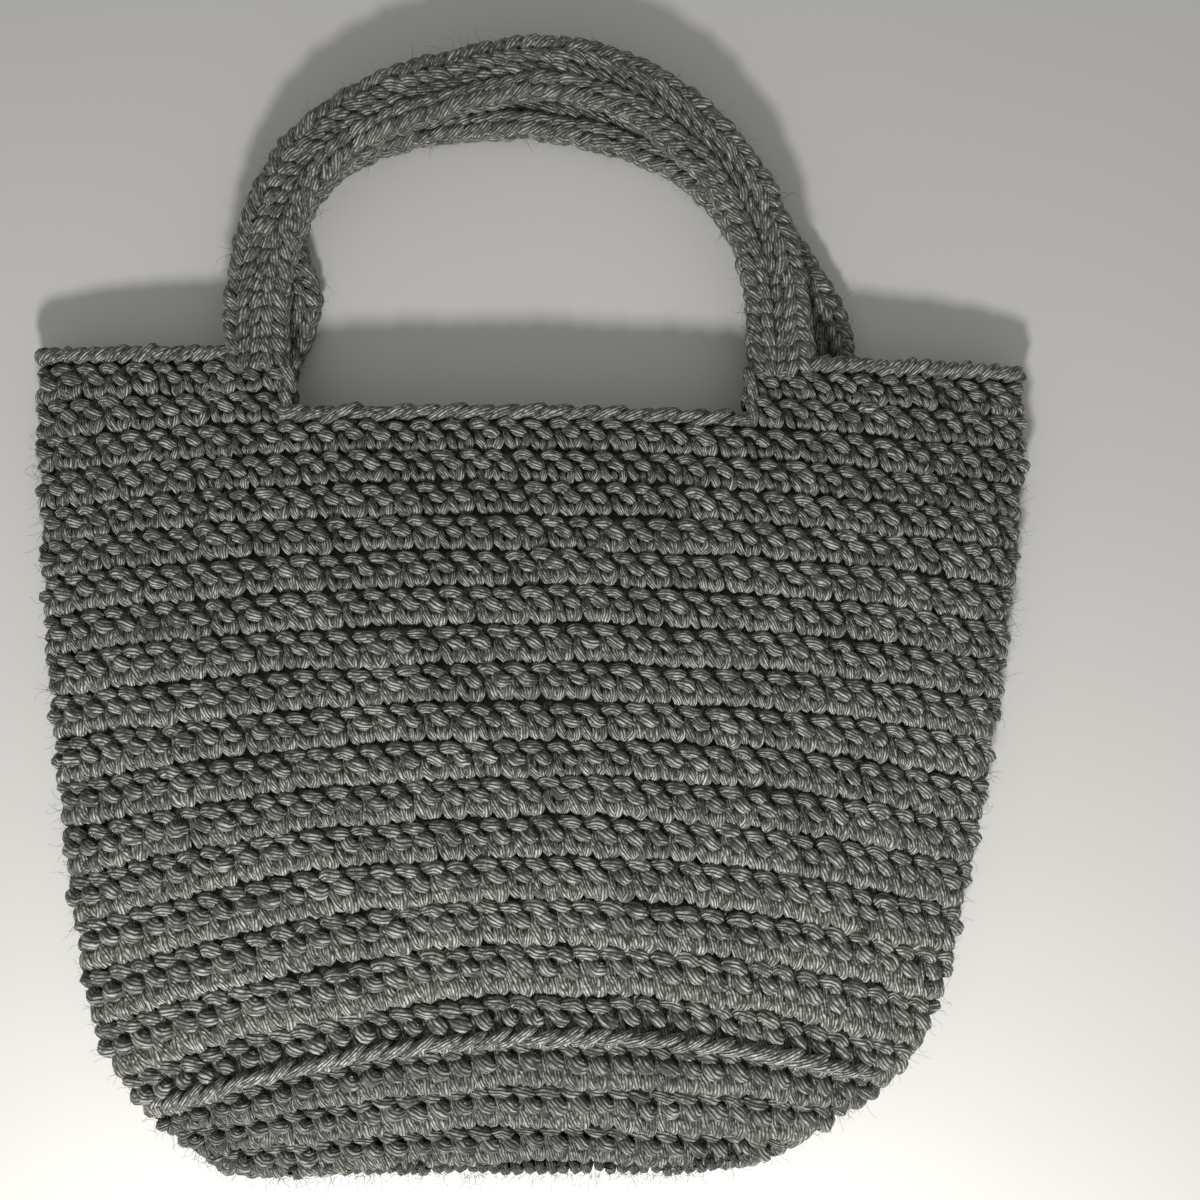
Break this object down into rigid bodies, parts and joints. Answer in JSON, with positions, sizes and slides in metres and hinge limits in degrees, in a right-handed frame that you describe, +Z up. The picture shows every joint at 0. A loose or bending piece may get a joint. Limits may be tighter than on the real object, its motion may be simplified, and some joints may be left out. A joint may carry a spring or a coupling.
{
  "type": "crochet handbag",
  "caption": "Soft crochet handbag lying on its back: hollow ribbed pouch with open mouth, folded oval base with raised braid, braided rims and strap handles to carry it by.",
  "frame": {"origin": "middle of the footprint of the bag as it lies on its back, on the table", "axes": "+X to the right across the bag, +Y from the base towards the handles, +Z up from the table"},
  "size_m": [0.3064, 0.3452, 0.0343],
  "materials": {
    "yarn_body": "matte plied yarn, half double crochet",
    "yarn_braid": "matte plied yarn, chain braid",
    "yarn_handle": "matte plied yarn, lengthwise rows"
  },
  "bodies": {
    "root": {"body": "yarn_body", "base": "yarn_body", "base_ridge": "yarn_braid", "rim_edge_front": "yarn_braid", "rim_edge_back": "yarn_braid", "shoulder_edge_left": "yarn_braid", "shoulder_edge_right": "yarn_braid", "handle_front": "yarn_handle", "handle_back": "yarn_handle"}
  },
  "joints": []
}
